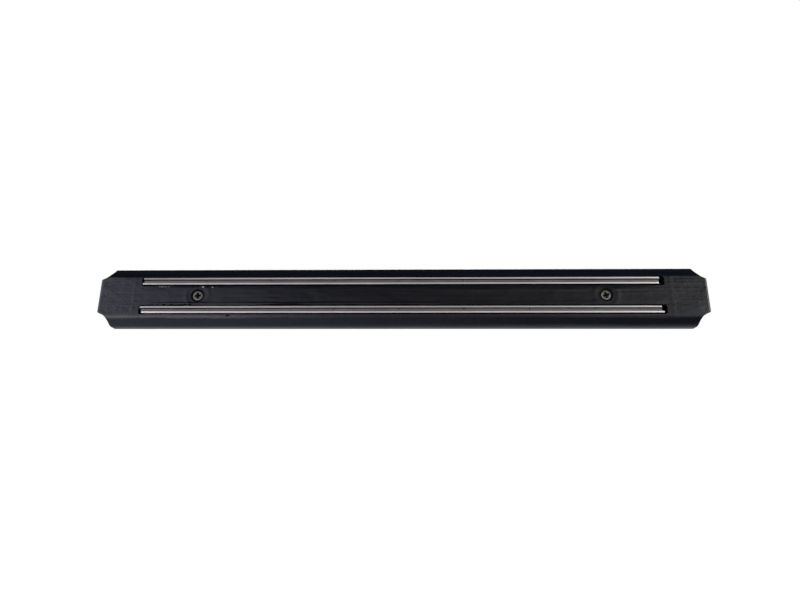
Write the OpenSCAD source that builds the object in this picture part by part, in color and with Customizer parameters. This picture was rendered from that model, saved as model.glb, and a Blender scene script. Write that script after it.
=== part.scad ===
// Wall rack for knives: a moulded casing with two magnetic rails along its front.
// X runs along the rack, +Z is up and -Y points into the room.
// The origin is the middle of the casing's back, on the wall plane y = 0.
// Inside the modules a depth is a distance in front of the wall, so it runs along -Y.

/* [Casing] */
// Length of the casing from end to end
casing_l = 502; // [402:10:602]
// Width of the casing from its bottom edge to its top edge
casing_w = 50; // [48:1:60]
// Depth of the casing from the wall to its front face
casing_d = 15; // [15:0.5:18]
// Thickness of the moulded walls
wall_t = 2; // [1.6:0.1:2.4]
// Width of the flat front face between the two sloping sides
face_w = 35.6; // [34:0.2:40]
// Depth of the straight skirt between the wall and the sloping sides
skirt_d = 9; // [6:0.5:10]
// Size of the small bevel along the front edge of both ends
end_bevel = 2; // [1:0.5:3]
// Radius of the scoop taken out of each corner
scoop_r = 11; // [9:0.5:12]

/* [Rails] */
// Plain length of casing between a slot and the casing's end
end_land = 35.5; // [30:0.5:45]
// Distance between the centre lines of the two rails
rail_pitch = 24.5; // [24:0.5:26]
// Width of the slot that a rail stands in
slot_w = 7.2; // [7:0.1:7.4]
// Thickness of a steel strip
strip_t = 1.4; // [1.2:0.1:1.5]
// Depth of a steel strip from its front edge to its back edge
strip_d = 12; // [11:0.5:12]
// Height by which the strips stand proud of the front face
strip_proud = 0.8; // [0.4:0.1:1.5]
// Length by which a strip's front edge is shorter than its slot
strip_play = 5; // [4:0.5:6]
// Number of magnets in each rail
magnet_n = 8; // [6:1:10]
// Gap between the two strips of a rail
rail_gap = 3; // [2.8:0.1:3]
// Thickness of a magnet, which clings to the lower strip of its rail
magnet_t = 2.6; // [2.4:0.1:2.8]
// Depth of a magnet from front to back
magnet_d = 9; // [8:0.5:9]
// Depth of the magnets' faces below the strips' front edges
magnet_recess = 1.6; // [1:0.1:2]

/* [Screws] */
// Distance from the casing's end to the screw
screw_inset = 83; // [70:1:100]
// Thread diameter of a wall screw
screw_d = 4; // [3.5:0.1:4]
// Length of a wall screw with its head
screw_l = 30; // [25:5:40]
// Diameter of the countersunk head
head_d = 7.8; // [7.5:0.1:8]
// Depth of the head below the front face
head_sink = 0.8; // [0.5:0.1:1.2]
// Turn of the cross in the left screw, in degrees
left_turn = 8; // [0:1:89]
// Turn of the cross in the right screw, in degrees
right_turn = 16; // [0:1:89]

/* [Hidden] */
$fn = 64;
eps = 0.01;

// Sloping sides, and the inner surfaces one wall thickness behind them
slope_run = (casing_w - face_w) / 2;
slope_drop = casing_d - skirt_d;
slope_len = sqrt(slope_run * slope_run + slope_drop * slope_drop);
inner_skirt_d = skirt_d + wall_t * (slope_drop - slope_len) / slope_run;
inner_face_w = face_w + 2 * wall_t * (slope_run - slope_len) / slope_drop;
inner_d = casing_d - wall_t;

// Corner scoops are centred just outside the end, level with the long edge
scoop_out = 1.5;

// Stiffening ribs and the walls of the two channels behind the slots
rib_t = 1.2;
rib_inset = 0.5;
rib_span = 48;
rib_n = floor((casing_l - 2 * end_land) / rib_span);
rib_x = [for (i = [0:rib_n]) (i - rib_n / 2) * rib_span];
channel_t = 1.4;

// The channel is longer than its slot, so that the strips' shoulders catch behind the face
slot_l = casing_l - 2 * end_land;
slot_corner_r = 1.5;
shoulder_l = 5;
channel_l = slot_l + 2 * shoulder_l;
shoulder_gap = 0.1;
strip_corner = 0.5;
strip_l = slot_l - strip_play;
strip_front = casing_d + strip_proud;
strip_back = strip_front - strip_d;
// Each strip has slid a little along its slot: upper rail top and bottom, then lower rail
strip_shift = [-1.2, -1.8, -1.8, 0];
strip_z = (rail_gap + strip_t) / 2;

// Pads inside the channel hold the strips upright, nibs hold the closer in
pad_l = 2;
pad_gap = 0.05;
pad_t = (slot_w - rail_gap - 2 * strip_t) / 2 - pad_gap;
nib_l = 6;
nib_d = 0.6;
nib_t = 0.5;

// A row of magnets fills the gap between two strips
magnet_gap = 0.4;
magnet_row_l = strip_l;
magnet_row_x = -1.2;
magnet_l = (magnet_row_l - (magnet_n - 1) * magnet_gap) / magnet_n;
magnet_front = strip_front - magnet_recess;
magnet_back = magnet_front - magnet_d;

// The closer is a T: a base behind the strips and a tongue behind the magnets
closer_t = 2;
closer_play = 0.05;
closer_l = channel_l - 1;
closer_front = strip_back - closer_play;
closer_back = closer_front - closer_t;
closer_w = slot_w - 2 * closer_play;
closer_tongue_w = rail_gap - 0.4;

// Countersunk screws, each through a boss that bears on the wall
screw_x = casing_l / 2 - screw_inset;
boss_d = 12;
hole_d = screw_d + 0.5;
seat_gap = 0.05;
head_front = casing_d - head_sink;
head_edge = 0.15;
neck_d = 3.2;
tip_l = 4;
cross_w = 4.4;
cross_arm = 0.9;
cross_d = 1.6;
cross_core_d = 2.2;

black_abs = [0.09, 0.09, 0.1];
bare_steel = [0.74, 0.73, 0.71];
ferrite = [0.27, 0.25, 0.24];
screw_steel = [0.55, 0.53, 0.5];

// Extrudes an outline drawn in X and Z from one depth to another
module between(back, front) {
    translate([0, -back, 0]) rotate([90, 0, 0]) linear_extrude(front - back) children();
}

// A box of length l about x, from depth back to depth front, and from z_low to z_high
module block(x, l, back, front, z_low, z_high) {
    translate([x - l / 2, -front, z_low]) cube([l, front - back, z_high - z_low]);
}

// Front outline of the casing, shrunk by inset on every side
module outline(inset) {
    difference() {
        square([casing_l - 2 * inset, casing_w - 2 * inset], center = true);
        for (sx = [-1, 1], sz = [-1, 1])
            translate([sx * (casing_l / 2 + scoop_out), sz * casing_w / 2])
                circle(r = scoop_r + inset);
    }
}

// Cross section of half-width w, with straight sides to depth s and a flat of half-width f
module section(w, s, d, f, l) {
    translate([-l / 2, 0, 0]) rotate([90, 0, 90]) linear_extrude(l)
        polygon([[0, -w], [-s, -w], [-d, -f], [-d, f], [-s, w], [0, w]]);
}

// The whole casing as a solid, with its ends bevelled
module outer_body() {
    intersection() {
        between(0, casing_d) outline(0);
        section(casing_w / 2, skirt_d, casing_d, face_w / 2, casing_l);
        translate([0, 0, -casing_w / 2]) linear_extrude(casing_w) polygon([
            [-casing_l / 2, 0],
            [-casing_l / 2, end_bevel - casing_d],
            [end_bevel - casing_l / 2, -casing_d],
            [casing_l / 2 - end_bevel, -casing_d],
            [casing_l / 2, end_bevel - casing_d],
            [casing_l / 2, 0]
        ]);
    }
}

// The hollow behind the walls, open at the wall side
module inner_space() {
    intersection() {
        translate([0, eps, 0]) between(0, inner_d + eps) outline(wall_t);
        translate([0, eps, 0])
            section(casing_w / 2 - wall_t, inner_skirt_d + eps, inner_d + eps,
                    inner_face_w / 2, casing_l);
    }
}

// Stiffening ribs, channel walls and screw bosses inside the hollow
module inner_walls() {
    for (x = rib_x) block(x, rib_t, rib_inset, inner_d + eps, -casing_w / 2, casing_w / 2);
    for (sx = [-1, 1])
        block(sx * (channel_l + channel_t) / 2, channel_t, rib_inset, inner_d + eps,
              -casing_w / 2, casing_w / 2);
    for (sz = [-1, 1])
        block(0, channel_l + 2 * channel_t, rib_inset, inner_d + eps,
              sz * rail_pitch / 2 - slot_w / 2 - channel_t,
              sz * rail_pitch / 2 + slot_w / 2 + channel_t);
    for (sx = [-1, 1]) translate([sx * screw_x, 0]) between(0, inner_d + eps) circle(d = boss_d);
}

// One slot through the front face, with rounded corners
module slot_outline() {
    square([slot_l - 2 * slot_corner_r, slot_w], center = true);
    square([slot_l, slot_w - 2 * slot_corner_r], center = true);
    for (sx = [-1, 1], sz = [-1, 1])
        translate([sx * (slot_l / 2 - slot_corner_r), sz * (slot_w / 2 - slot_corner_r)])
            circle(r = slot_corner_r);
}

// The slot and the channel behind it, which are cut out of the casing
module rail_space() {
    between(inner_d - eps, casing_d + 1) slot_outline();
    block(0, channel_l, -1, inner_d, -slot_w / 2, slot_w / 2);
}

// Countersunk hole for one screw
module screw_hole() {
    mouth_r = head_d / 2 + head_edge + head_sink + seat_gap;
    sink_d = mouth_r - hole_d / 2;
    between(-1, casing_d) circle(d = hole_d);
    translate([0, sink_d - casing_d, 0]) rotate([90, 0, 0])
        cylinder(r1 = hole_d / 2, r2 = mouth_r + 1, h = sink_d + 1);
}

// Pads and nibs along both sides of a channel
module channel_pads() {
    for (x = rib_x, sz = [-1, 1]) {
        pad_z = sz * (slot_w - pad_t) / 2;
        block(x, pad_l, strip_back + 0.5, inner_d + eps, pad_z - pad_t / 2, pad_z + pad_t / 2);
        nib_z = sz * (slot_w - nib_t) / 2;
        block(x, nib_l, closer_back - closer_play - nib_d, closer_back - closer_play,
              nib_z - nib_t / 2, nib_z + nib_t / 2);
    }
}

module casing() {
    color(black_abs) {
        difference() {
            union() {
                difference() {
                    outer_body();
                    inner_space();
                }
                intersection() {
                    outer_body();
                    inner_walls();
                }
            }
            for (sz = [-1, 1]) translate([0, 0, sz * rail_pitch / 2]) rail_space();
            for (sx = [-1, 1]) translate([sx * screw_x, 0, 0]) screw_hole();
        }
        for (sz = [-1, 1]) translate([0, 0, sz * rail_pitch / 2]) channel_pads();
    }
}

// One steel strip: its front edge stands in the slot, its shoulders reach behind the face
module strip(rail_side, strip_side, shift) {
    half = strip_l / 2;
    foot = half + shoulder_l;
    step = inner_d - shoulder_gap;
    z = rail_side * rail_pitch / 2 + strip_side * strip_z;
    color(bare_steel)
        translate([shift, 0, z - strip_t / 2]) linear_extrude(strip_t) polygon([
            [-foot, -strip_back],
            [-foot, -step],
            [-half, -step],
            [-half, strip_corner - strip_front],
            [strip_corner - half, -strip_front],
            [half - strip_corner, -strip_front],
            [half, strip_corner - strip_front],
            [half, -step],
            [foot, -step],
            [foot, -strip_back]
        ]);
}

module upper_rail_top_strip() { strip(1, 1, strip_shift[0]); }
module upper_rail_bottom_strip() { strip(1, -1, strip_shift[1]); }
module lower_rail_top_strip() { strip(-1, 1, strip_shift[2]); }
module lower_rail_bottom_strip() { strip(-1, -1, strip_shift[3]); }

// Magnet number i of a rail, counted from the left
module magnet(rail_side, i) {
    x = magnet_row_x - magnet_row_l / 2 + magnet_l / 2 + (i - 1) * (magnet_l + magnet_gap);
    z = rail_side * rail_pitch / 2 - rail_gap / 2;
    color(ferrite) block(x, magnet_l, magnet_back, magnet_front, z, z + magnet_t);
}

// The bar pressed into a channel from behind, which holds its strips and magnets in
module closer(rail_side) {
    color(black_abs) translate([0, 0, rail_side * rail_pitch / 2]) {
        block(0, closer_l, closer_back, closer_front, -closer_w / 2, closer_w / 2);
        block(magnet_row_x, magnet_row_l, closer_front - eps, magnet_back - closer_play,
              -closer_tongue_w / 2, closer_tongue_w / 2);
    }
}

module upper_rail_closer() { closer(1); }
module lower_rail_closer() { closer(-1); }

// The cross in a screw head, cut from the head's face at z = 0 downwards
module cross_recess() {
    for (a = [0, 90]) rotate([0, 0, a]) translate([-cross_w / 2, -cross_arm / 2, -cross_d])
        cube([cross_w, cross_arm, cross_d + 1]);
    translate([0, 0, -cross_core_d]) cylinder(r1 = cross_arm / 2, r2 = cross_arm, h = cross_core_d);
}

// One screw along its axis: the wall is at z = 0 and the head faces +z
module screw(turn) {
    head_r = head_d / 2;
    tip = head_front - screw_l;
    difference() {
        rotate_extrude() polygon([
            [0, tip],
            [screw_d / 2, tip + tip_l],
            [screw_d / 2, 0],
            [neck_d / 2, 0],
            [neck_d / 2, head_front - head_edge - (head_r - neck_d / 2)],
            [head_r, head_front - head_edge],
            [head_r, head_front],
            [0, head_front]
        ]);
        translate([0, 0, head_front]) rotate([0, 0, turn]) cross_recess();
    }
}

module wall_screws() {
    color(screw_steel) {
        translate([-screw_x, 0, 0]) rotate([90, 0, 0]) screw(left_turn);
        translate([screw_x, 0, 0]) rotate([90, 0, 0]) screw(right_turn);
    }
}

casing();
upper_rail_top_strip();
upper_rail_bottom_strip();
lower_rail_top_strip();
lower_rail_bottom_strip();
for (i = [1:magnet_n]) magnet(1, i);
for (i = [1:magnet_n]) magnet(-1, i);
upper_rail_closer();
lower_rail_closer();
wall_screws();
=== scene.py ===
import math
import random

import bmesh
import bpy
from mathutils import Matrix, Vector, noise


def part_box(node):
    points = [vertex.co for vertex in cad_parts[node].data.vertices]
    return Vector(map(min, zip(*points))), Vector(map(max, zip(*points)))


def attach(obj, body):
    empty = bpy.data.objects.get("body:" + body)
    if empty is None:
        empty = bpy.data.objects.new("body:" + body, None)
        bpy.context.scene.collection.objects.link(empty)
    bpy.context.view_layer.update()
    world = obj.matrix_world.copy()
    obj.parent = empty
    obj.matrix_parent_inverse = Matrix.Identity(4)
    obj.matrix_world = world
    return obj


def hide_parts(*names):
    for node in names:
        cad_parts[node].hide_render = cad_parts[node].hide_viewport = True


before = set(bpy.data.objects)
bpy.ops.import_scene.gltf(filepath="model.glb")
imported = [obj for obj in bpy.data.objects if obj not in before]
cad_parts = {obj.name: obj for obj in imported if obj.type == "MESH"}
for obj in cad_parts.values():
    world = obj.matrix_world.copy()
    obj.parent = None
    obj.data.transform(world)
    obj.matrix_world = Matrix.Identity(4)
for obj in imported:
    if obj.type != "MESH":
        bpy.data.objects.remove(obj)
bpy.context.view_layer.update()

# The pieces are drawn in millimetres and turned into metres as they become meshes.
# A point is (x, depth, z), where depth is the distance in front of the wall, along -Y.
# Materials, lights and the camera are in metres.
MM = 0.001


def box_mm(node):
    """Lowest and highest corner of a CAD node, in millimetres, in the row frame."""
    lo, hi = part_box(node)
    return lo / MM, hi / MM


# Casing, from its CAD box and the moulding's own dimensions
CASING_LO, CASING_HI = box_mm("casing")
HALF_L = (CASING_HI.x - CASING_LO.x) / 2
HALF_W = (CASING_HI.z - CASING_LO.z) / 2
DEPTH = -CASING_LO.y
# Thickness of the face, the slopes and the skirts, and depth of the face's back
WALL = 2.0
INNER_D = DEPTH - WALL
# Half the width of the flat face, and depth at which the slopes beside it start
FACE_HALF_W = 17.8
SKIRT = 9.0
# Radius of a scooped corner, and how far past the casing's end its centre lies
SCOOP_R = 11.0
SCOOP_OUT = 1.5
# A slot ends this far from the casing's end, and the channel behind it a shoulder nearer
END_LAND = 35.5
SHOULDER = 5.0
SLOT_HALF_L = HALF_L - END_LAND
CHANNEL_HALF_L = SLOT_HALF_L + SHOULDER
SLOT_HALF_W = 3.6
# Thickness of the channel walls and of the ribs, and distance between ribs
CHANNEL_T = 1.4
RIB_T = 1.2
RIB_SPAN = 48.0

# Rails, from the CAD boxes of their strips and closers
CLOSER_LO, CLOSER_HI = box_mm("upper_rail_closer")
CLOSER_BACK = -CLOSER_HI.y
RAIL_Z = (CLOSER_LO.z + CLOSER_HI.z) / 2
INNER_SLOT_EDGE = RAIL_Z - SLOT_HALF_W
OUTER_SLOT_EDGE = RAIL_Z + SLOT_HALF_W
STRIP_NODES = [
    "upper_rail_top_strip",
    "upper_rail_bottom_strip",
    "lower_rail_top_strip",
    "lower_rail_bottom_strip",
]
STRIP_LO, STRIP_HI = box_mm(STRIP_NODES[0])
STRIP_FRONT, STRIP_BACK = -STRIP_LO.y, -STRIP_HI.y
# Painted light: brightness painted into each strip's colour for how the light falls on it, and
# the share of it that its left end keeps, darker there as painted shade
STRIP_PAINTED_LIGHT = [(0.94, 0.52), (1.07, 0.78), (0.78, 0.8), (1.15, 1.0)]
# X at which that share is reached and X at which the change to it starts, in metres
LEFT_SHADE_RAMP = (-0.2, -0.08)

# Screws, from the CAD box of the pair
SCREW_LO, SCREW_HI = box_mm("wall_screws")
HEAD_R = (SCREW_HI.z - SCREW_LO.z) / 2
SCREW_X = SCREW_HI.x - HEAD_R
HEAD_FRONT = -SCREW_LO.y
SCREW_TIP = -SCREW_HI.y
# Radii of the clearance hole, of the countersink at the face and of the boss round it
HOLE_R = 2.25
MOUTH_R = 4.9
BOSS_R = 6.0
# Wood screw: radius of the neck, thread pitch, root and crest radii, length of the point
NECK_R = 1.55
PITCH = 1.8
ROOT_R = 1.35
CREST_R = 2.0
POINT = 4.2

# How far a cutting body reaches past the surfaces that it opens
CLEAR = 1.0


# ---------------------------------------------------------------- outlines


def arc(centre, radius, start, sweep, steps):
    """Points on an arc, angles in radians."""
    return [
        (
            centre[0] + radius * math.cos(start + sweep * k / steps),
            centre[1] + radius * math.sin(start + sweep * k / steps),
        )
        for k in range(steps + 1)
    ]


def fillet(points, radii, steps):
    """A closed outline with each corner rounded by its own radius; 0 leaves it sharp."""
    out = []
    for i, (point, radius) in enumerate(zip(points, radii)):
        p = Vector(point)
        if radius <= 0:
            out.append(tuple(p))
            continue
        a = (Vector(points[i - 1]) - p).normalized()
        b = (Vector(points[(i + 1) % len(points)]) - p).normalized()
        half = a.angle(b) / 2
        centre = p + (a + b).normalized() * (radius / math.sin(half))
        start = p + a * (radius / math.tan(half)) - centre
        end = p + b * (radius / math.tan(half)) - centre
        first = math.atan2(start.y, start.x)
        last = math.atan2(end.y, end.x)
        sweep = (last - first + math.pi) % (2 * math.pi) - math.pi
        out += arc(centre, radius, first, sweep, steps)
    return out


def rounded_rectangle(half_l, half_w, radius, steps):
    """A rectangle about the origin with all four corners rounded alike."""
    corners = [(-half_l, -half_w), (half_l, -half_w), (half_l, half_w), (-half_l, half_w)]
    return fillet(corners, [radius] * 4, steps)


def scooped_corner(inset, end_r, side_r):
    """One corner of the front outline: end face, scoop and long edge, with both tips rounded."""
    end, side, radius = HALF_L - inset, HALF_W - inset, SCOOP_R + inset
    c = Vector((HALF_L + SCOOP_OUT, HALF_W))
    x1, z2 = end - end_r, side - side_r
    z1 = c.y - math.sqrt((radius + end_r) ** 2 - (c.x - x1) ** 2)
    x2 = c.x - math.sqrt((radius + side_r) ** 2 - (c.y - z2) ** 2)
    tip1, tip2 = Vector((x1, z1)), Vector((x2, z2))
    to_c1, to_c2 = c - tip1, c - tip2
    a1 = math.atan2(to_c1.y, to_c1.x)
    a2 = math.atan2(to_c2.y, to_c2.x)
    scoop_start, scoop_end = a1 - math.pi, a2 - math.pi
    points = arc(tip1, end_r, 0, a1, 6)
    points += arc(c, radius, scoop_start, scoop_end - scoop_start, 28)[1:-1]
    points += arc(tip2, side_r, a2, math.pi / 2 - a2, 6)
    return points


def front_outline(inset=0.0, end_r=1.0, side_r=1.0):
    """The whole outline of the casing seen from the front, counter-clockwise."""
    quarter = scooped_corner(inset, end_r, side_r)
    right_top = quarter
    left_top = [(-x, z) for x, z in reversed(quarter)]
    left_bottom = [(-x, -z) for x, z in quarter]
    right_bottom = [(x, -z) for x, z in reversed(quarter)]
    return right_top + left_top + left_bottom + right_bottom


def section_outline(inset, radii):
    """Cross section in (depth, z): skirts, slopes and the flat face.

    One that is set in bounds the hollow, so it reaches behind the wall plane.
    """
    run, drop = HALF_W - FACE_HALF_W, DEPTH - SKIRT
    slope = math.hypot(run, drop)
    skirt = SKIRT + inset * (drop - slope) / run
    face = FACE_HALF_W + inset * (run - slope) / drop
    side, front = HALF_W - inset, DEPTH - inset
    back = 0.0 if inset == 0 else -CLEAR
    corners = [
        (back, -side),
        (skirt, -side),
        (front, -face),
        (front, face),
        (skirt, side),
        (back, side),
    ]
    return fillet(corners, radii, 12)


# ---------------------------------------------------------------- mesh building


def place(x, depth, z):
    """A drawing point as a vector in the row frame, in metres."""
    return Vector((x, -depth, z)) * MM


def make_object(name, verts, faces):
    """A new object in the scene from points and faces, its normals turned outwards."""
    mesh = bpy.data.meshes.new(name)
    mesh.from_pydata([tuple(v) for v in verts], [], faces)
    mesh.validate()
    obj = bpy.data.objects.new(name, mesh)
    bpy.context.scene.collection.objects.link(obj)
    face_outwards(obj)
    return obj


def face_outwards(obj):
    """Turns every face of a closed mesh outwards."""
    bm = bmesh.new()
    bm.from_mesh(obj.data)
    bmesh.ops.recalc_face_normals(bm, faces=bm.faces)
    bm.to_mesh(obj.data)
    bm.free()


def loft(name, loops):
    """Joins loops of equal length into one closed skin, capped at both ends."""
    n, last = len(loops[0]), len(loops) - 1
    verts = [p for loop in loops for p in loop]
    faces = []
    for k in range(last):
        near, far = k * n, (k + 1) * n
        for i in range(n):
            j = (i + 1) % n
            faces.append((near + i, near + j, far + j, far + i))
    faces.append(tuple(range(n)))
    faces.append(tuple(last * n + i for i in range(n)))
    return make_object(name, verts, faces)


def prism_front(name, outline, back, front):
    """Extrudes an (x, z) outline from one depth to another."""
    return loft(name, [[place(x, d, z) for x, z in outline] for d in (back, front)])


def prism_along(name, outline, x_low, x_high):
    """Extrudes a (depth, z) outline along the rack."""
    return loft(name, [[place(x, d, z) for d, z in outline] for x in (x_low, x_high)])


def prism_up(name, outline, z_low, z_high):
    """Extrudes an (x, depth) outline from one height to another."""
    return loft(name, [[place(x, d, z) for x, d in outline] for z in (z_low, z_high)])


def ring_about(x, depth, steps, radius_at):
    """Points round the screw axis at x, their radius given by the angle and the depth."""
    ring = []
    for k in range(steps):
        a = 2 * math.pi * k / steps
        r = radius_at(a, depth)
        ring.append(place(x + r * math.cos(a), depth, r * math.sin(a)))
    return ring


def rings_of(profile, x, steps):
    """The rings of an open (radius, depth) profile turned about the screw axis at x."""
    return [ring_about(x, depth, steps, lambda a, d, r=radius: r) for radius, depth in profile]


def settle_modifiers(obj):
    """Turns the object's modifiers into its mesh."""
    graph = bpy.context.evaluated_depsgraph_get()
    mesh = bpy.data.meshes.new_from_object(obj.evaluated_get(graph))
    obj.modifiers.clear()
    obj.data = mesh


def combine(obj, other, operation):
    """A boolean with another object, which is used up; new faces keep its material."""
    modifier = obj.modifiers.new("combine", "BOOLEAN")
    modifier.object = other
    modifier.operation = operation
    modifier.solver = "EXACT"
    modifier.material_mode = "TRANSFER"
    settle_modifiers(obj)
    bpy.data.objects.remove(other)


def paint(obj, material):
    """Gives the whole object one material, and returns it."""
    obj.data.materials.clear()
    obj.data.materials.append(material)
    return obj


def cut(obj, *others):
    """Takes each of the other objects away from this one."""
    for other in others:
        combine(obj, other, "DIFFERENCE")


def add(obj, *others):
    """Fuses each of the other objects to this one."""
    for other in others:
        combine(obj, other, "UNION")


def keep_inside(obj, *others):
    """Keeps only what lies inside each of the other objects."""
    for other in others:
        combine(obj, other, "INTERSECT")


def join(name, objects):
    """Several separate solids as one mesh."""
    bm = bmesh.new()
    for obj in objects:
        bm.from_mesh(obj.data)
        bpy.data.objects.remove(obj)
    mesh = bpy.data.meshes.new(name)
    bm.to_mesh(mesh)
    bm.free()
    obj = bpy.data.objects.new(name, mesh)
    bpy.context.scene.collection.objects.link(obj)
    return obj


def round_edges(obj, width, segments, angle, chosen=None):
    """Rounds edges sharper than the angle: all, or only those that the chosen test accepts."""
    modifier = obj.modifiers.new("round", "BEVEL")
    modifier.width = width * MM
    modifier.segments = segments
    modifier.limit_method = "ANGLE"
    modifier.angle_limit = math.radians(angle)
    modifier.use_clamp_overlap = False
    modifier.loop_slide = False
    if chosen is not None:
        modifier.limit_method = "WEIGHT"
        bm = bmesh.new()
        bm.from_mesh(obj.data)
        weights = bm.edges.layers.float.new("bevel_weight_edge")
        for edge in bm.edges:
            sharp = len(edge.link_faces) == 2 and edge.calc_face_angle(0.0) > math.radians(angle)
            edge[weights] = 1.0 if sharp and chosen(edge) else 0.0
        bm.to_mesh(obj.data)
        bm.free()
    settle_modifiers(obj)


def clean(obj, distance=0.001):
    """Merges points closer than the distance, in millimetres, and drops flat slivers."""
    bm = bmesh.new()
    bm.from_mesh(obj.data)
    bmesh.ops.remove_doubles(bm, verts=bm.verts, dist=distance * MM)
    bmesh.ops.dissolve_degenerate(bm, edges=bm.edges, dist=distance * MM)
    bm.to_mesh(obj.data)
    bm.free()


def drop_folds(obj, chosen, sliver=0.01):
    """Splits slivers and the faces chosen by their points, and drops triangles folded flat.

    A sliver is a face smaller than that many square millimetres.
    """
    bm = bmesh.new()
    bm.from_mesh(obj.data)
    faces = [
        face
        for face in bm.faces
        if face.calc_area() < sliver * MM * MM or all(chosen(v.co / MM) for v in face.verts)
    ]
    bmesh.ops.triangulate(bm, faces=faces, quad_method="BEAUTY", ngon_method="BEAUTY")
    by_corners = {}
    for face in bm.faces:
        by_corners.setdefault(frozenset(face.verts), []).append(face)
    folds = [face for same in by_corners.values() if len(same) == 2 for face in same]
    bmesh.ops.delete(bm, geom=folds, context="FACES")
    bm.to_mesh(obj.data)
    bm.free()


def shade(obj, angle=32):
    """Smooth shading, with edges sharper than the angle kept crisp."""
    bm = bmesh.new()
    bm.from_mesh(obj.data)
    limit = math.radians(angle)
    for face in bm.faces:
        face.smooth = True
    for edge in bm.edges:
        edge.smooth = len(edge.link_faces) == 2 and edge.calc_face_angle(math.pi) < limit
    bm.to_mesh(obj.data)
    bm.free()
    modifier = obj.modifiers.new("flat_faces_stay_flat", "WEIGHTED_NORMAL")
    modifier.keep_sharp = True


# ---------------------------------------------------------------- materials


def color_socket(sockets, name):
    """The colour socket of that name; a Mix node has one of every kind under each name."""
    return next(s for s in sockets if s.name == name and s.type == "RGBA")


def mix_colors(tree, factor, a, b):
    """The output of a new Mix node between a and b, each a colour or an output."""
    node = tree.nodes.new("ShaderNodeMix")
    node.data_type = "RGBA"
    tree.links.new(factor, node.inputs["Factor"])
    for name, value in (("A", a), ("B", b)):
        socket = color_socket(node.inputs, name)
        if isinstance(value, tuple):
            socket.default_value = (*value, 1.0)
        else:
            tree.links.new(value, socket)
    return color_socket(node.outputs, "Result")


class Nodes:
    """A material's node tree, with short ways to add what it needs."""

    def __init__(self, name):
        self.material = bpy.data.materials.new(name)
        self.material.use_nodes = True
        self.tree = self.material.node_tree
        self.shader = self.tree.nodes["Principled BSDF"]
        self.coords = self.tree.nodes.new("ShaderNodeTexCoord").outputs["Object"]

    def new(self, kind, **settings):
        node = self.tree.nodes.new(kind)
        for key, value in settings.items():
            setattr(node, key, value)
        return node

    def link(self, output, socket):
        self.tree.links.new(output, socket)

    def stretched(self, scale):
        """Object coordinates in metres, multiplied by scale along each axis."""
        node = self.new("ShaderNodeMapping")
        node.inputs["Scale"].default_value = scale
        self.link(self.coords, node.inputs["Vector"])
        return node.outputs["Vector"]

    def noise(self, scale, detail, roughness):
        """Noise whose size along each axis is one over scale, in metres."""
        node = self.new("ShaderNodeTexNoise")
        node.inputs["Scale"].default_value = 1.0
        node.inputs["Detail"].default_value = detail
        node.inputs["Roughness"].default_value = roughness
        self.link(self.stretched(scale), node.inputs["Vector"])
        return node.outputs["Fac"]

    def between(self, value, low, high, to_low=0.0, to_high=1.0):
        """Value mapped from low..high to to_low..to_high, and clamped."""
        node = self.new("ShaderNodeMapRange")
        for name, number in zip(
            ("From Min", "From Max", "To Min", "To Max"), (low, high, to_low, to_high)
        ):
            node.inputs[name].default_value = number
        self.link(value, node.inputs["Value"])
        return node.outputs["Result"]

    def axis(self, name):
        """One object coordinate, in metres."""
        node = self.new("ShaderNodeSeparateXYZ")
        self.link(self.coords, node.inputs["Vector"])
        return node.outputs[name]

    def past(self, x):
        """Distance in metres beyond x millimetres, measured from the middle to either end."""
        return self.math("SUBTRACT", self.math("ABSOLUTE", self.axis("X"), 0.0), x * MM)

    def near_zero(self, value, width):
        """1 where the value is 0, falling to 0 where it is that many millimetres."""
        return self.between(self.math("ABSOLUTE", value, 0.0), 0.0, width * MM, 1.0, 0.0)

    def ring(self, x, radius, width):
        """1 on a circle of that radius about each screw axis at +x and -x, 0 away from it."""
        along = self.math("POWER", self.past(x), 2.0)
        across = self.math("POWER", self.axis("Z"), 2.0)
        distance = self.math("SQRT", self.math("ADD", along, across), 0.0)
        return self.near_zero(self.math("SUBTRACT", distance, radius * MM), width)

    def upright_line(self, x, width):
        """1 on the upright lines at +x and -x, 0 away from them."""
        return self.near_zero(self.past(x), width)

    def math(self, operation, a, b):
        node = self.new("ShaderNodeMath", operation=operation)
        for socket, value in zip(node.inputs, (a, b)):
            if isinstance(value, (int, float)):
                socket.default_value = value
            else:
                self.link(value, socket)
        return node.outputs["Value"]

    def mix(self, factor, a, b):
        """A colour between a and b, each a colour or an output."""
        return mix_colors(self.tree, factor, a, b)

    def edges(self, low, high):
        """0 on flat ground, rising to 1 on sharp outward edges."""
        pointiness = self.new("ShaderNodeNewGeometry").outputs["Pointiness"]
        return self.between(pointiness, low, high)

    def bump(self, *layers):
        """Stacks (height, strength, distance in mm) layers onto the shader's normal."""
        normal = None
        for height, strength, distance in layers:
            node = self.new("ShaderNodeBump")
            node.inputs["Strength"].default_value = strength
            node.inputs["Distance"].default_value = distance * MM
            self.link(height, node.inputs["Height"])
            if normal is not None:
                self.link(normal, node.inputs["Normal"])
            normal = node.outputs["Normal"]
        self.link(normal, self.shader.inputs["Normal"])

    def finish(self, color, roughness, **constants):
        """Links the colour and roughness, sets the shader's other inputs, gives the material."""
        self.link(color, self.shader.inputs["Base Color"])
        self.link(roughness, self.shader.inputs["Roughness"])
        for name, value in constants.items():
            self.shader.inputs[name.replace("_", " ")].default_value = value
        return self.material


# Refractive index of ABS, and the weak reflection that, with a near-black colour, paints shade
# into recesses
ABS_IOR = 1.53
RECESS_SHADE_SPECULAR = 0.05


def scaled(color, factor):
    """A colour with each channel multiplied by the factor, up to 1."""
    return tuple(min(1.0, c * factor) for c in color)


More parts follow.
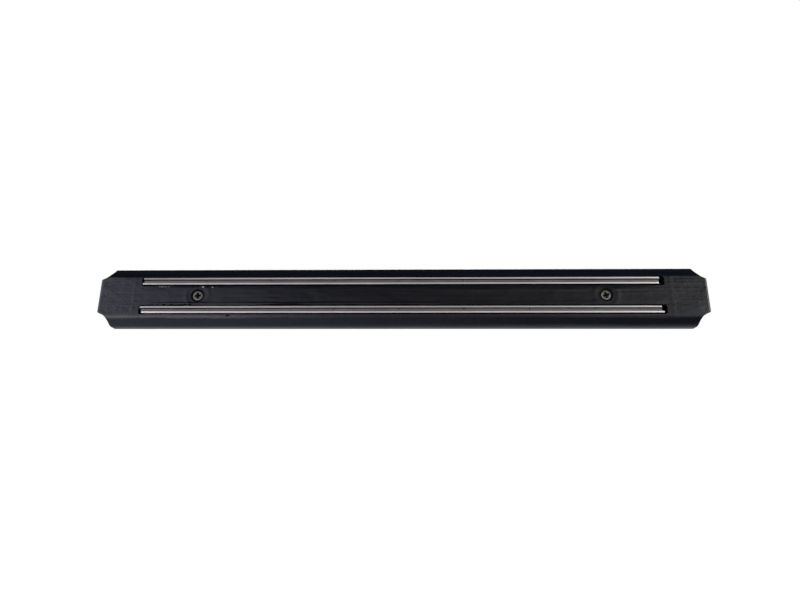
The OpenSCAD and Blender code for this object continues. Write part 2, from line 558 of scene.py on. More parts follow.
def casing_plastic():
    """Satin black ABS: flow streaks along the mould, sink marks, scuffs and a fine grain."""
    black, lighter = (0.0022, 0.0024, 0.003), (0.0042, 0.0044, 0.0054)
    scuff, tint = (0.03, 0.031, 0.035), (0.96, 0.96, 1.0, 1.0)
    n = Nodes("casing_abs")
    streaks = n.noise((9, 330, 330), 5, 0.6)
    clouds = n.noise((16, 40, 40), 3, 0.5)
    mottle = n.noise((90, 170, 170), 5, 0.6)
    scuffs = n.between(n.noise((70, 1500, 1500), 6, 0.7), 0.6, 0.72)
    patches = n.between(n.noise((26, 60, 60), 4, 0.6), 0.48, 0.62)
    scuffed = n.math("MULTIPLY", scuffs, patches)
    grain = n.noise((2600, 2600, 2600), 3, 0.6)
    end_wall = n.upright_line(CHANNEL_HALF_L + CHANNEL_T / 2, width=2.4)
    boss_root = n.ring(SCREW_X, radius=9.6, width=2.6)
    sink = n.math("MAXIMUM", boss_root, n.math("MULTIPLY", end_wall, 0.35))
    color = n.mix(n.between(streaks, 0.3, 0.7), black, lighter)
    color = n.mix(n.math("MULTIPLY", scuffed, 0.3), color, scuff)
    rough = n.between(clouds, 0.3, 0.7, 0.17, 0.22)
    rough = n.math("ADD", rough, n.math("MULTIPLY", streaks, 0.05))
    rough = n.math("ADD", rough, n.math("MULTIPLY", scuffed, 0.1))
    n.bump(
        (clouds, 1.0, 0.8),
        (sink, 1.0, 0.12),
        (streaks, 0.7, 0.34),
        (mottle, 1.0, 0.35),
        (grain, 0.25, 0.04),
    )
    n.shader.inputs["Specular Tint"].default_value = tint
    return n.finish(color, rough, IOR=ABS_IOR)


def inner_plastic():
    """The core side of the moulding: matt black with an eroded texture and faint flow marks."""
    black, lighter, dusty = (0.009, 0.009, 0.01), (0.014, 0.014, 0.0155), (0.03, 0.029, 0.028)
    n = Nodes("inner_abs")
    texture = n.noise((1400, 1400, 1400), 3, 0.6)
    flow = n.noise((25, 60, 60), 3, 0.5)
    dust = n.between(n.noise((160, 160, 160), 5, 0.65), 0.5, 0.75, 0.0, 0.5)
    color = n.mix(n.between(flow, 0.3, 0.7), black, lighter)
    color = n.mix(dust, color, dusty)
    rough = n.between(flow, 0.3, 0.7, 0.42, 0.5)
    n.bump((flow, 0.3, 0.3), (texture, 0.4, 0.04))
    return n.finish(color, rough, IOR=ABS_IOR)


def recess_shade_plastic():
    """Unpolished black ABS inside the slots and countersinks, made near black and barely
    reflecting as painted shade, flecked with dust.
    """
    black, dusty = (0.0012, 0.0012, 0.0014), (0.006, 0.0058, 0.0056)
    n = Nodes("recess_shade_abs")
    dust = n.noise((500, 500, 500), 4, 0.6)
    color = n.mix(n.between(dust, 0.4, 0.75), black, dusty)
    rough = n.between(dust, 0.3, 0.7, 0.75, 0.9)
    n.bump((dust, 0.3, 0.06))
    n.shader.inputs["Specular IOR Level"].default_value = RECESS_SHADE_SPECULAR
    return n.finish(color, rough)


def flash_plastic():
    """Torn, stress-whitened flash at the slot edges."""
    grey, whitened = (0.09, 0.09, 0.095), (0.36, 0.36, 0.37)
    n = Nodes("torn_abs")
    whitening = n.noise((1200, 1200, 1200), 4, 0.6)
    color = n.mix(n.between(whitening, 0.35, 0.65), grey, whitened)
    n.bump((whitening, 0.4, 0.08))
    return n.finish(color, n.between(whitening, 0.3, 0.7, 0.5, 0.75), IOR=ABS_IOR)


def closer_plastic():
    """The press-in bars: a duller black than the casing."""
    black, lighter = (0.016, 0.016, 0.017), (0.023, 0.023, 0.025)
    n = Nodes("closer_abs")
    streaks = n.noise((40, 160, 160), 4, 0.6)
    grain = n.noise((1800, 1800, 1800), 3, 0.6)
    color = n.mix(n.between(streaks, 0.3, 0.7), black, lighter)
    rough = n.between(streaks, 0.3, 0.7, 0.5, 0.64)
    n.bump((streaks, 0.15, 0.15), (grain, 0.3, 0.06))
    return n.finish(color, rough, IOR=ABS_IOR)


def rail_steel(name, front, painted_brightness, left_painted_shade):
    """Steel strip with a bright worn front edge, its brightness painted per strip and darker to
    the left as painted shade, and mill scale behind it, painted near black as shade in the slot.
    """
    dark_line, bright_line = (0.66, 0.63, 0.605), (0.86, 0.825, 0.8)
    dull_patch, rust = (0.5, 0.475, 0.455), (0.24, 0.17, 0.12)
    burnished, mill_scale_and_shade = (0.9, 0.89, 0.88), (0.011, 0.01, 0.0095)
    n = Nodes(name)
    lines = n.noise((9, 5200, 5200), 5, 0.65)
    broad = n.noise((38, 220, 220), 4, 0.55)
    specks = n.between(n.noise((420, 900, 900), 5, 0.7), 0.66, 0.74)
    edges = n.edges(0.52, 0.62)
    # Each strip's painted brightness scales its colour: painted light and shade per strip.
    color = n.mix(n.between(lines, 0.3, 0.7), scaled(dark_line, painted_brightness), scaled(bright_line, painted_brightness))
    color = n.mix(n.between(broad, 0.35, 0.7, 0.0, 0.3), color, dull_patch)
    color = n.mix(n.math("MULTIPLY", specks, 0.5), color, rust)
    color = n.mix(n.math("MULTIPLY", edges, 0.4), color, burnished)
    # Painted shade: the colour darkens towards the left end.
    color = n.mix(n.between(n.axis("X"), *LEFT_SHADE_RAMP, left_painted_shade, 1.0), (0.0, 0.0, 0.0), color)
    # Painted shade: behind the worn front edge the sides and shoulders are mill scale, made near
    # black to stand in for the shade in the slot.
    depth = n.math("MULTIPLY", n.axis("Y"), -1.0)
    depth = n.math("ADD", depth, n.math("MULTIPLY", broad, 0.2 * MM))
    worn = n.between(depth, (front - 0.25) * MM, (front - 0.1) * MM)
    color = n.mix(worn, mill_scale_and_shade, color)
    rough = n.between(lines, 0.25, 0.75, 0.44, 0.56)
    rough = n.math("ADD", rough, n.math("MULTIPLY", specks, 0.25))
    n.bump((lines, 0.35, 0.03), (broad, 0.12, 0.08), (specks, 0.3, 0.03))
    return n.finish(color, rough, Metallic=1.0)


def ferrite():
    """Sintered magnet: a ground brown-grey face with pits and grinding lines."""
    dark, light = (0.05, 0.043, 0.039), (0.1, 0.087, 0.08)
    pale_patch, pit = (0.12, 0.107, 0.099), (0.02, 0.018, 0.017)
    n = Nodes("ferrite")
    grains = n.noise((1500, 1500, 1500), 4, 0.65)
    pits = n.between(n.noise((700, 700, 700), 3, 0.5), 0.62, 0.7)
    lines = n.noise((30, 3800, 900), 4, 0.6)
    patches = n.noise((55, 120, 120), 3, 0.5)
    color = n.mix(n.between(grains, 0.3, 0.7), dark, light)
    color = n.mix(n.between(patches, 0.35, 0.65, 0.0, 0.6), color, pale_patch)
    color = n.mix(n.math("MULTIPLY", pits, 0.8), color, pit)
    rough = n.between(grains, 0.3, 0.7, 0.5, 0.68)
    n.bump((grains, 0.4, 0.06), (lines, 0.25, 0.05), (n.math("SUBTRACT", 1.0, pits), 0.5, 0.12))
    return n.finish(color, rough, IOR=1.9, Metallic=0.25)


def zinc_plate():
    """Dull zinc plating, blotchy and worn brighter at the edges."""
    dark, light, worn = (0.11, 0.102, 0.093), (0.205, 0.191, 0.174), (0.4, 0.385, 0.36)
    n = Nodes("screw_zinc")
    blotches = n.noise((420, 420, 420), 4, 0.6)
    fine = n.noise((3200, 3200, 3200), 3, 0.6)
    edges = n.edges(0.51, 0.6)
    color = n.mix(n.between(blotches, 0.3, 0.7), dark, light)
    color = n.mix(n.math("MULTIPLY", edges, 0.6), color, worn)
    rough = n.between(blotches, 0.3, 0.7, 0.36, 0.52)
    n.bump((blotches, 0.2, 0.08), (fine, 0.25, 0.02))
    return n.finish(color, rough, Metallic=0.9)


def painted_cross_shade():
    """The cross of a screw head, painted near black and barely reflecting as shade, with browner
    lumps.
    """
    black, brown = (0.0015, 0.0014, 0.0013), (0.008, 0.0072, 0.0064)
    n = Nodes("screw_cross_shade")
    lumps = n.noise((2200, 2200, 2200), 4, 0.6)
    color = n.mix(n.between(lumps, 0.35, 0.7), black, brown)
    n.bump((lumps, 0.5, 0.08))
    n.shader.inputs["Specular IOR Level"].default_value = RECESS_SHADE_SPECULAR
    return n.finish(color, n.between(lumps, 0.3, 0.7, 0.7, 0.95))


# ---------------------------------------------------------------- casing


def rib_places():
    """X of every stiffening rib, evenly spread about the middle."""
    count = int(2 * SLOT_HALF_L // RIB_SPAN)
    return [(i - count / 2) * RIB_SPAN for i in range(count + 1)]


def open_stretches(walls, half_t):
    """The stretches that are left open between walls standing at those places."""
    return [(a + half_t, b - half_t) for a, b in zip(walls, walls[1:])]


def bay_box(x_low, x_high, z_low, z_high):
    """One open bay, running right through the casing, with rounded corners."""
    centre_x, centre_z = (x_low + x_high) / 2, (z_low + z_high) / 2
    corner_r = 0.7
    ring = rounded_rectangle((x_high - x_low) / 2, (z_high - z_low) / 2, corner_r, 4)
    ring = [(centre_x + x, centre_z + z) for x, z in ring]
    return prism_front("bay", ring, -2 * CLEAR, DEPTH + 2 * CLEAR)


def boss_solid(x):
    """A screw boss, flaring where it meets the back of the face."""
    flare = 0.6
    root = BOSS_R + flare
    profile = [(root, INNER_D + CLEAR), (root, INNER_D - 0.001)]
    for k in range(1, 5):
        a = math.pi / 2 * k / 4
        profile.append((root - flare * math.sin(a), INNER_D - flare * (1 - math.cos(a))))
    profile.append((BOSS_R, -2 * CLEAR))
    return loft("boss", rings_of(profile, x, 64))


def hollow_bays():
    """Everything that is hollow behind the face: middle, side and end bays."""
    past = 4 * CLEAR
    middle_wall = INNER_SLOT_EDGE - CHANNEL_T
    side_wall = OUTER_SLOT_EDGE + CHANNEL_T
    end_wall = CHANNEL_HALF_L + CHANNEL_T
    last_rib = CHANNEL_HALF_L + RIB_T / 2
    bays = []
    for low, high in open_stretches([-last_rib] + rib_places() + [last_rib], RIB_T / 2):
        bays.append(bay_box(low, high, -middle_wall, middle_wall))
        bays.append(bay_box(low, high, side_wall, HALF_W + past))
        bays.append(bay_box(low, high, -HALF_W - past, -side_wall))
    for low, high in ((end_wall, HALF_L + past), (-HALF_L - past, -end_wall)):
        bays.append(bay_box(low, high, -HALF_W - past, HALF_W + past))
    hollow = join("hollow", bays)
    inner_section = section_outline(WALL, [0, 1.2, 0.8, 0.8, 1.2, 0])
    keep_inside(
        hollow,
        prism_along("inner_section", inner_section, -HALF_L - CLEAR, HALF_L + CLEAR),
        prism_front("inner_outline", front_outline(WALL, 0.6, 0.6), -CLEAR, INNER_D),
    )
    for side in (-1, 1):
        cut(hollow, boss_solid(side * SCREW_X))
    return hollow


def slot_cutter(z):
    """A slot whose mouth flares into the face with a small radius."""
    flare, steepest, corner_r = 0.7, 70, 1.5
    bottom, top = INNER_D - 0.5, DEPTH + 0.6
    rings = [(bottom, 0.0), (DEPTH - flare, 0.0)]
    for degrees in (18, 36, 54, steepest):
        a = math.radians(degrees)
        rings.append((DEPTH - flare + flare * math.sin(a), flare * (1 - math.cos(a))))
    last_depth, last_out = rings[-1]
    rings.append((top, last_out + (top - last_depth) * math.tan(math.radians(steepest))))
    loops = []
    for depth, out in rings:
        ring = rounded_rectangle(SLOT_HALF_L + out, SLOT_HALF_W + out, corner_r + out, 6)
        loops.append([place(x, depth, z + across) for x, across in ring])
    return loft("slot", loops)


def face_ridge(name, span, near, far, height, seed, uneven):
    """A soft ridge along the face, its height wandering and fading out at both ends."""
    low, high = span
    slices, steps = 90, 12
    fade_l, wander_l, sunk, root = 30, 21, 0.03, 0.5
    loops = []
    for i in range(slices + 1):
        x = low + (high - low) * i / slices
        fade = min(1.0, (x - low) / fade_l, (high - x) / fade_l)
        wander = noise.noise(Vector((x / wander_l, near, seed)))
        swell = fade * height * max(0.0, 1 + uneven * wander)
        loop = []
        for k in range(steps + 1):
            t = k / steps
            rise = swell * math.sin(math.pi * t) ** 1.3 - sunk
            loop.append(place(x, DEPTH + rise, near + (far - near) * t))
        loop += [place(x, DEPTH - root, far), place(x, DEPTH - root, near)]
        loops.append(loop)
    return loft(name, loops)


def slot_dish(z_edge, z_far, drop):
    """A cutter that takes the face down so that it rolls off towards a slot edge."""
    slices, steps = 60, 10
    reach, fade_l, top = SLOT_HALF_L - 2, 20, DEPTH + 0.6
    z_start = z_edge + math.copysign(0.4, z_edge - z_far)
    loops = []
    for i in range(slices + 1):
        x = -reach + 2 * reach * i / slices
        fade = min(1.0, (reach - abs(x)) / fade_l)
        loop = []
        for k in range(steps + 1):
            t = k / steps
            sunk = fade * drop * (1 - t) ** 1.6
            loop.append(place(x, DEPTH + 0.02 - sunk, z_start + (z_far - z_start) * t))
        loop += [place(x, top, z_far), place(x, top, z_start)]
        loops.append(loop)
    return loft("dish", loops)


def crumb(rng, x, depth, z, length, width, height):
    """An irregular pebble of plastic, used for flash and for nicks."""
    # Place of each slice, in lengths from the middle, and its size against the widest
    slices = [(-0.5, 0.12), (-0.3, 0.8), (0.05, 1.0), (0.32, 0.7), (0.5, 0.1)]
    corners = 6
    loops = []
    for middle, swell in slices:
        loop = []
        for k in range(corners):
            a = 2 * math.pi / corners * k
            r = swell * rng.uniform(0.65, 1.0)
            px = x + length * (middle + rng.uniform(-0.04, 0.04))
            front = depth + height * r * math.cos(a)
            loop.append(place(px, front, z + width / 2 * r * math.sin(a)))
        loops.append(loop)
    return loft("crumb", loops)


def crumbs(seed, span, z_range, lengths, widths, heights, gaps):
    """Crumbs scattered along the face from one X to another, none touching the next."""
    rng = random.Random(seed)
    least_gap = 0.2
    solids = []
    x, end = span
    while x < end:
        length = rng.uniform(*lengths)
        width, height = rng.uniform(*widths), rng.uniform(*heights)
        z = rng.uniform(*z_range)
        solids.append(crumb(rng, x + length / 2, DEPTH, z, length, width, height))
        x += length + least_gap + rng.uniform(*gaps)
    return join("crumbs", solids)


def channel_cutter(z):
    """The channel behind a slot, open at the back."""
    corner_r = 0.4
    ring = rounded_rectangle(CHANNEL_HALF_L, SLOT_HALF_W, corner_r, 3)
    ring = [(x, z + across) for x, across in ring]
    return prism_front("channel", ring, -CLEAR, INNER_D)


def screw_hole_cutter(x):
    """Clearance hole and 90 degree countersink, its mouth eased into the face."""
    ease, step, top = 0.5, 0.25, DEPTH + 0.5
    profile = [
        (HOLE_R, -CLEAR),
        (HOLE_R, DEPTH - (MOUTH_R - HOLE_R)),
        (MOUTH_R - ease, DEPTH - ease),
    ]
    for a in (math.radians(55), math.radians(65)):
        r, depth = profile[-1]
        profile.append((r + step * math.sin(a), depth + step * math.cos(a)))
    r, depth = profile[-1]
    profile.append((r + (top - depth) * math.tan(math.radians(72)), top))
    return loft("screw_hole", rings_of(profile, x, 96))


def block(name, half_l, x, back, front, z_low, z_high):
    """A plain block, half_l to each side of x."""
    low, high = x - half_l, x + half_l
    ring = [(low, z_low), (high, z_low), (high, z_high), (low, z_high)]
    return prism_front(name, ring, back, front)


def pads_and_nibs(z):
    """Locating pads beside the strips and snap nibs behind the closer, on both channel walls."""
    rooted = 0.2
    pad_half_l, pad_height, pad_back, pad_front = 1, 0.55, STRIP_BACK + 0.5, INNER_D + rooted
    nib_half_l, nib_height, nib_back, nib_front = 3, 0.5, CLOSER_BACK - 0.65, CLOSER_BACK - 0.05
    solids = []
    for x in rib_places():
        for side in (-1, 1):
            wall = z + side * (SLOT_HALF_W + rooted)
            pad = sorted((wall, z + side * (SLOT_HALF_W - pad_height)))
            nib = sorted((wall, z + side * (SLOT_HALF_W - nib_height)))
            solids.append(block("pad", pad_half_l, x, pad_back, pad_front, *pad))
            solids.append(block("nib", nib_half_l, x, nib_back, nib_front, *nib))
    return join("pads", solids)


def wear_slot_edges(body, recess):
    """Ragged flash and small nicks along the slot edges, where knives have scraped."""
    edge = INNER_SLOT_EDGE
    upper_nicks = crumbs(
        seed=11,
        span=(-174, -145),
        z_range=(edge - 1.3, edge - 0.8),
        lengths=(1.8, 4.5),
        widths=(1.1, 1.8),
        heights=(0.8, 1.1),
        gaps=(0.5, 3),
    )
    lower_nicks = crumbs(
        seed=12,
        span=(-207, -172),
        z_range=(0.5 - edge, 1.2 - edge),
        lengths=(2.0, 5.0),
        widths=(1.0, 1.6),
        heights=(0.5, 0.8),
        gaps=(0.8, 4),
    )
    notch_z = -OUTER_SLOT_EDGE - 1.4
    notch = crumb(random.Random(17), -141.5, DEPTH - 0.5, notch_z, 4.0, 1.7, 0.8)
    # The nicks take the recess material, painted near black as shade.
    for nicks in (upper_nicks, lower_nicks, notch):
        cut(body, paint(nicks, recess))
    end_flash = crumbs(
        seed=13,
        span=(-201, -191),
        z_range=(edge - 1.3, edge - 0.9),
        lengths=(1.2, 2.0),
        widths=(0.6, 0.9),
        heights=(0.3, 0.45),
        gaps=(0.6, 2),
    )
    inner_flash = crumbs(
        seed=24,
        span=(-165, -153),
        z_range=(edge - 1.9, edge - 1.2),
        lengths=(1.3, 2.2),
        widths=(1.0, 1.6),
        heights=(0.4, 0.6),
        gaps=(5, 7),
    )
    torn = flash_plastic()
    for flash in (end_flash, inner_flash):
        add(body, paint(flash, torn))


def end_cutter(side):
    """Rounds the front edge of one end: an arc, then a straight run out past the face."""
    radius, sweep, outside = 2.2, 82, 0.01
    middle_depth, top = DEPTH - radius, DEPTH + CLEAR
    curve = arc((HALF_L - radius, middle_depth), radius, 0.0, math.radians(sweep), 10)
    last_x, last_depth = curve[-1]
    run_out = (top - last_depth) / math.tan(math.radians(90 - sweep))
    ring = [
        (last_x - run_out, top),
        (HALF_L + 2 * CLEAR, top),
        (HALF_L + 2 * CLEAR, middle_depth - CLEAR),
        (HALF_L + outside, middle_depth - CLEAR),
        (HALF_L + outside, middle_depth),
    ]
    ring += curve[1:]
    half_w = HALF_W + CLEAR
    return prism_up("end", [(side * x, depth) for x, depth in ring], -half_w, half_w)


def on_rim(edge):
    """Whether an edge joins the outer outline to the front or to the back of the casing."""
    near = 0.6
    upright = [abs(face.normal.y) < 0.05 for face in edge.link_faces]
    if upright[0] == upright[1]:
        return False
    middle = (edge.verts[0].co + edge.verts[1].co) / 2 / MM
    from_centre = Vector((HALF_L + SCOOP_OUT - abs(middle.x), HALF_W - abs(middle.z)))
    on_scoop = abs(from_centre.length - SCOOP_R) < near and from_centre.x > -0.1
    return on_scoop or abs(middle.x) > HALF_L - near


def on_worn_edge(point):
    """Whether a point, in millimetres, lies beside the inner slot edges where they are worn."""
    near, below_face, low_x, high_x = 2.2, 2, -215, -135
    from_edge = abs(abs(point.z) - INNER_SLOT_EDGE)
    return low_x < point.x < high_x and from_edge < near and -point.y > DEPTH - below_face


def build_casing():
    """The moulded casing: rounded outer body, hollow back, slots, countersinks and fittings."""
    # Corner radii, from the back edge below, round the front, to the back edge above
    section = section_outline(0, [0.4, 8, 9, 7, 5, 0.4])
    body = prism_along("moulded_casing", section, -HALF_L - CLEAR, HALF_L + CLEAR)
    keep_inside(body, prism_front("outline", front_outline(), -CLEAR, DEPTH + CLEAR))
    cut(body, end_cutter(1), end_cutter(-1))
    paint(body, casing_plastic())
    inner = inner_plastic()
    recess = recess_shade_plastic()
    cut(body, paint(hollow_bays(), inner))
    edge = INNER_SLOT_EDGE
    cut(body, slot_dish(edge, edge - 3.6, drop=0.42))
    add(
        body,
        face_ridge("ridge", (10, 213), edge - 2.0, edge - 6.2, height=0.17, seed=3, uneven=0.8),
        face_ridge("lip", (-213, 45), 0.3 - edge, 3.3 - edge, height=0.3, seed=8, uneven=0.8),
    )
    # The channels, slots and countersinks take the recess material, painted near black as shade.
    for side in (-1, 1):
        cut(body, paint(channel_cutter(side * RAIL_Z), recess))
        cut(body, paint(slot_cutter(side * RAIL_Z), recess))
        cut(body, paint(screw_hole_cutter(side * SCREW_X), recess))
    for side in (-1, 1):
        add(body, paint(pads_and_nibs(side * RAIL_Z), inner))
    wear_slot_edges(body, recess)
    clean(body)
    round_edges(body, width=0.45, segments=3, angle=38, chosen=on_rim)
    clean(body)
    drop_folds(body, on_worn_edge)
    shade(body)
    return body


# ---------------------------------------------------------------- rails


def build_strip(node):
    """One steel strip: a straight front edge between two shoulders, its corners rounded."""
    lo, hi = box_mm(node)
    back, front, shoulder_front = -hi.y, -lo.y, INNER_D - 0.1
    inner_lo, inner_hi = lo.x + SHOULDER, hi.x - SHOULDER
    outline = [
        (lo.x, back),
        (hi.x, back),
        (hi.x, shoulder_front),
        (inner_hi, shoulder_front),
        (inner_hi, front),
        (inner_lo, front),
        (inner_lo, shoulder_front),
        (lo.x, shoulder_front),
    ]
    outline = fillet(outline, [0.3, 0.3, 0.4, 0.3, 0.3, 0.3, 0.3, 0.4], 5)
    strip = prism_up(node + "_bar", outline, lo.z, hi.z)
    round_edges(strip, width=0.14, segments=2, angle=50)
    shade(strip)
    return strip


def build_magnet(node, seed):
    """One magnet: a ground block with bevelled edges and seeded chips at its corners."""
    lo, hi = box_mm(node)
    rng = random.Random(seed)
    corners = [(lo.x, lo.z), (hi.x, lo.z), (hi.x, hi.z), (lo.x, hi.z)]
    chips = [rng.uniform(0.15, 0.6) for _ in corners]
    ring = fillet(corners, chips, 3)
    magnet = prism_front(node + "_block", ring, -hi.y, -lo.y)
    round_edges(magnet, width=0.16, segments=2, angle=50)
    shade(magnet)
    return magnet


def sink_pockets(x_low, x_high, centre_z, back):
    """Shallow pockets, evenly spread along the back of a closer."""
    pitch, half_l, half_w, corner_r, deep = 24.0, 9.5, 2.0, 0.8, 0.7
    count = int((x_high - x_low) // pitch)
    pockets = []
    for i in range(count):
        x = (x_low + x_high) / 2 + (i - (count - 1) / 2) * pitch
        ring = rounded_rectangle(half_l, half_w, corner_r, 4)
        ring = [(x + px, centre_z + pz) for px, pz in ring]
        pockets.append(prism_front("pocket", ring, back - CLEAR, back + deep))
    return join("pockets", pockets)


def build_closer(node):
    """The T-shaped bar behind a rail, with shallow sink pockets along its base."""
    lo, hi = box_mm(node)
    base_t, half_tongue = 2.0, 1.3
    back, front = -hi.y, -lo.y
    base_front = back + base_t
    centre = (lo.z + hi.z) / 2
    section = [
        (back, lo.z),
        (base_front, lo.z),
        (base_front, centre - half_tongue),
        (front, centre - half_tongue),
        (front, centre + half_tongue),
        (base_front, centre + half_tongue),
        (base_front, hi.z),
        (back, hi.z),
    ]
    bar = prism_along(node + "_bar", section, lo.x, hi.x)
    cut(bar, sink_pockets(lo.x, hi.x, centre, back))
    round_edges(bar, width=0.15, segments=2, angle=50)
    shade(bar)
    return bar


# ---------------------------------------------------------------- screws


def thread_radius(angle, depth):
    """Radius of a wood screw's shank at a depth: neck, thread and point."""
    thread_front, thread_fade, half_ridge, sharp = 0.6, 1.5, 0.3, 0.02
    phase = (depth / PITCH + angle / (2 * math.pi)) % 1.0
    ridge = max(0.0, 1 - abs(phase - 0.5) / half_ridge)
    start = min(1.0, max(0.0, (thread_front - depth) / thread_fade))
    body = NECK_R + (ROOT_R + (CREST_R - ROOT_R) * ridge - NECK_R) * start
    taper = min(1.0, (depth - SCREW_TIP) / POINT)
    return max(sharp, body * math.sqrt(max(0.0, taper)))


def cross_cutter(x, turn):
    """A cross-shaped recess that narrows towards its bottom."""
    # Depth in front of the head, reach of the arms and half their width
    slices = [(0.6, 2.85, 1.08), (0.0, 2.62, 0.98), (-1.3, 1.7, 0.75), (-2.2, 0.7, 0.4)]
    loops = []
    for depth, reach, arm in slices:
        loop = []
        for quarter in range(4):
            angle = math.pi / 2 * quarter + math.radians(turn)
            cos, sin = math.cos(angle), math.sin(angle)
            for a, b in ((reach, -arm), (reach, arm), (arm, arm)):
                loop.append(place(x + a * cos - b * sin, HEAD_FRONT + depth, a * sin + b * cos))
        loops.append(loop)
    return loft("cross", loops)


def build_screw(name, x, turn, metal, cross_shade):
    """A countersunk cross-head wood screw, its cross turned by that many degrees."""
    steps, rows, shank_front = 40, 150, 0.8
    rim, edge = 0.14, 0.15
    cone_front = HEAD_FRONT - rim - edge
    cone_back = cone_front - (HEAD_R - NECK_R)
    head = [
        (HEAD_R - 0.35, HEAD_FRONT),
        (HEAD_R - 0.12, HEAD_FRONT - 0.04),
        (HEAD_R, HEAD_FRONT - rim),
        (HEAD_R - 0.02, cone_front),
        (NECK_R + 0.25, cone_back + 0.2),
        (NECK_R, cone_back - 0.1),
    ]
    loops = rings_of(head, x, steps)
    for i in range(rows + 1):
        depth = shank_front + (SCREW_TIP - shank_front) * i / rows
        loops.append(ring_about(x, depth, steps, thread_radius))
    screw = loft(name, loops)
    paint(screw, metal)
    # The cross's faces take the painted shade.
    cut(screw, paint(cross_cutter(x, turn), cross_shade))
    shade(screw, 40)
    return screw


# ---------------------------------------------------------------- assembly


def install(piece, slot, *nodes):
    """Fixes a piece to the body in place of its CAD nodes; the slot is not used."""
    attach(piece, "root")
    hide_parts(*nodes)


def build_rack():
    """Every piece of the rack, with its material."""
    install(build_casing(), "casing", "casing")
    # Each strip gets its own copy of the steel, brighter or darker as painted light.
    for node, painted_tones in zip(STRIP_NODES, STRIP_PAINTED_LIGHT):
        steel = rail_steel(node + "_steel", STRIP_FRONT, *painted_tones)
        install(paint(build_strip(node), steel), "rail_steel", node)
    magnet = ferrite()
    for seed, node in enumerate(sorted(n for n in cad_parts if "_magnet_" in n)):
        install(paint(build_magnet(node, seed), magnet), "magnet", node)
    bar = closer_plastic()
    for node in ("upper_rail_closer", "lower_rail_closer"):
        install(paint(build_closer(node), bar), "closer", node)
    zinc = zinc_plate()
    # Near-black cross fill: painted shade in the screw heads.
    cross_shade = painted_cross_shade()
    for name, x, turn in (("left_wall_screw", -SCREW_X, 8), ("right_wall_screw", SCREW_X, 16)):
        install(build_screw(name, x, turn, zinc, cross_shade), "screw", "wall_screws")


# ---------------------------------------------------------------- stage


def floor_material():
    """Matt white studio floor."""
    n = Nodes("studio_floor")
    mottle = n.noise((3, 3, 3), 3, 0.5)
    color = n.mix(n.between(mottle, 0.3, 0.7), (0.9, 0.9, 0.9), (0.93, 0.93, 0.93))
    n.shader.inputs["Emission Color"].default_value = (1, 1, 1, 1)
    n.shader.inputs["Emission Strength"].default_value = 0.9
    return n.finish(color, n.between(mottle, 0.3, 0.7, 0.8, 0.9))


def build_floor():
    """A wide pale floor, well below the rack."""
    half, level = 6.0, -0.62
    corners = [(-half, -half), (half, -half), (half, half), (-half, half)]
    mesh = bpy.data.meshes.new("floor")
    mesh.from_pydata([(x, y, level) for x, y in corners], [], [(0, 1, 2, 3)])
    floor = bpy.data.objects.new("floor", mesh)
    bpy.context.scene.collection.objects.link(floor)
    mesh.materials.append(floor_material())
    floor.visible_glossy = False


def soft_light(name, location, size, power):
    """A rectangular white softbox aimed at the rack's middle, hidden from the camera."""
    data = bpy.data.lights.new(name, "AREA")
    data.shape = "RECTANGLE"
    data.size, data.size_y = size
    data.energy = power
    light = bpy.data.objects.new(name, data)
    bpy.context.scene.collection.objects.link(light)
    light.location = location
    aim = Vector((0, 0, 0)) - Vector(location)
    light.rotation_euler = aim.to_track_quat("-Z", "Y").to_euler()
    light.visible_camera = False


def build_lights():
    """Three softboxes in front, the right-hand one strongest, and a fill for the back."""
    soft_light("left_softbox", (-1.45, -1.0, 0.15), size=(0.9, 1.1), power=6)
    soft_light("right_softbox", (1.5, -1.0, 0.15), size=(0.9, 1.1), power=14)
    soft_light("left_low_softbox", (-0.99, -1.32, -0.757), size=(0.9, 0.8), power=3.2)
    soft_light("back_fill", (0.0, 1.6, 0.6), size=(2.4, 1.2), power=30)


# What the camera sees behind the rack, and the room that lights it and is reflected in it
SEEN = (1.0, 1.0, 1.0)
FRONT = (0.14, 0.135, 0.14)
FRONT_LEFT = (0.82, 0.83, 1.08)
FRONT_RIGHT = (0.68, 0.67, 0.71)
LOW_FRONT = (0.34, 0.33, 0.33)
LOW_LEFT = (1.0, 1.0, 1.05)
LOW_RIGHT = (0.8, 0.8, 0.82)
BELOW_LEFT = (0.5, 0.53, 0.72)
BELOW_RIGHT = (0.02, 0.025, 0.05)
BEHIND = (0.35, 0.34, 0.4)
ABOVE = (0.032, 0.04, 0.07)


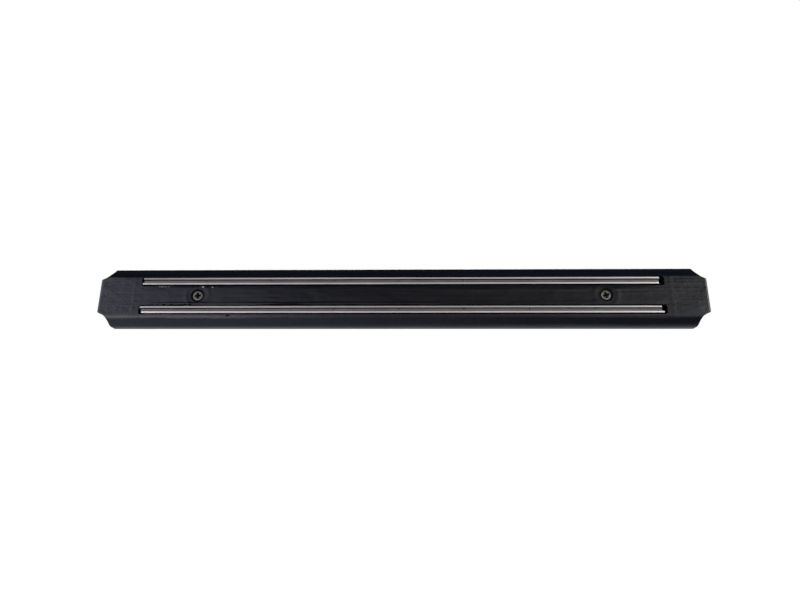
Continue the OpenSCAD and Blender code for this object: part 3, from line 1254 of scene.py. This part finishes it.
def build_world():
    """White for the camera; for the rack a soft room, brighter to the sides, dark above."""
    world = bpy.data.worlds.new("studio")
    bpy.context.scene.world = world
    world.use_nodes = True
    tree = world.node_tree
    tree.nodes.clear()
    coords = tree.nodes.new("ShaderNodeTexCoord")
    axes = tree.nodes.new("ShaderNodeSeparateXYZ")
    tree.links.new(coords.outputs["Generated"], axes.inputs["Vector"])

    def ramp(axis, low, high):
        """0 to 1 as that part of the direction goes from low to high."""
        node = tree.nodes.new("ShaderNodeMapRange")
        node.interpolation_type = "SMOOTHSTEP"
        node.inputs["From Min"].default_value = low
        node.inputs["From Max"].default_value = high
        tree.links.new(axes.outputs[axis], node.inputs["Value"])
        return node.outputs["Result"]

    left, right = ramp("X", -0.08, -0.46), ramp("X", 0.1, 0.5)
    high = mix_colors(tree, left, FRONT, FRONT_LEFT)
    high = mix_colors(tree, right, high, FRONT_RIGHT)
    low = mix_colors(tree, left, LOW_FRONT, LOW_LEFT)
    low = mix_colors(tree, right, low, LOW_RIGHT)
    room = mix_colors(tree, ramp("Z", 0.3, -0.1), high, low)
    below = mix_colors(tree, ramp("X", -0.6, 0.4), BELOW_LEFT, BELOW_RIGHT)
    room = mix_colors(tree, ramp("Z", -0.3, -0.75), room, below)
    room = mix_colors(tree, ramp("Y", -0.1, 0.5), room, BEHIND)
    room = mix_colors(tree, ramp("Z", 0.26, 0.52), room, ABOVE)
    lighting = tree.nodes.new("ShaderNodeBackground")
    tree.links.new(room, lighting.inputs["Color"])
    seen = tree.nodes.new("ShaderNodeBackground")
    seen.inputs["Color"].default_value = (*SEEN, 1.0)
    path = tree.nodes.new("ShaderNodeLightPath")
    choice = tree.nodes.new("ShaderNodeMixShader")
    tree.links.new(path.outputs["Is Camera Ray"], choice.inputs[0])
    tree.links.new(lighting.outputs[0], choice.inputs[1])
    tree.links.new(seen.outputs[0], choice.inputs[2])
    out = tree.nodes.new("ShaderNodeOutputWorld")
    tree.links.new(choice.outputs[0], out.inputs["Surface"])


def build_camera():
    """In front of the rack and a little below it, looking up at 17 degrees."""
    tilt, yaw, roll = math.radians(16.67), math.radians(1.507), math.radians(-0.086)
    distance, focal_length, sensor_width, nearest = 0.49165, 27, 36, 0.01
    target = Vector((-0.00002, -DEPTH * MM, -0.0042))
    up = Vector((0, -math.sin(tilt), math.cos(tilt)))
    level = -math.cos(yaw)
    back = Vector((math.sin(yaw), level * math.cos(tilt), level * math.sin(tilt)))
    turn = Matrix((up.cross(back), up, back)).transposed() @ Matrix.Rotation(roll, 3, "Z")
    data = bpy.data.cameras.new("camera")
    data.sensor_width = sensor_width
    data.lens = focal_length
    data.clip_start = nearest
    camera = bpy.data.objects.new("camera", data)
    bpy.context.scene.collection.objects.link(camera)
    camera.matrix_world = Matrix.Translation(target + back * distance) @ turn.to_4x4()
    bpy.context.scene.camera = camera


bpy.context.scene.view_settings.view_transform = "Standard"
build_rack()
build_floor()
build_lights()
build_world()
build_camera()
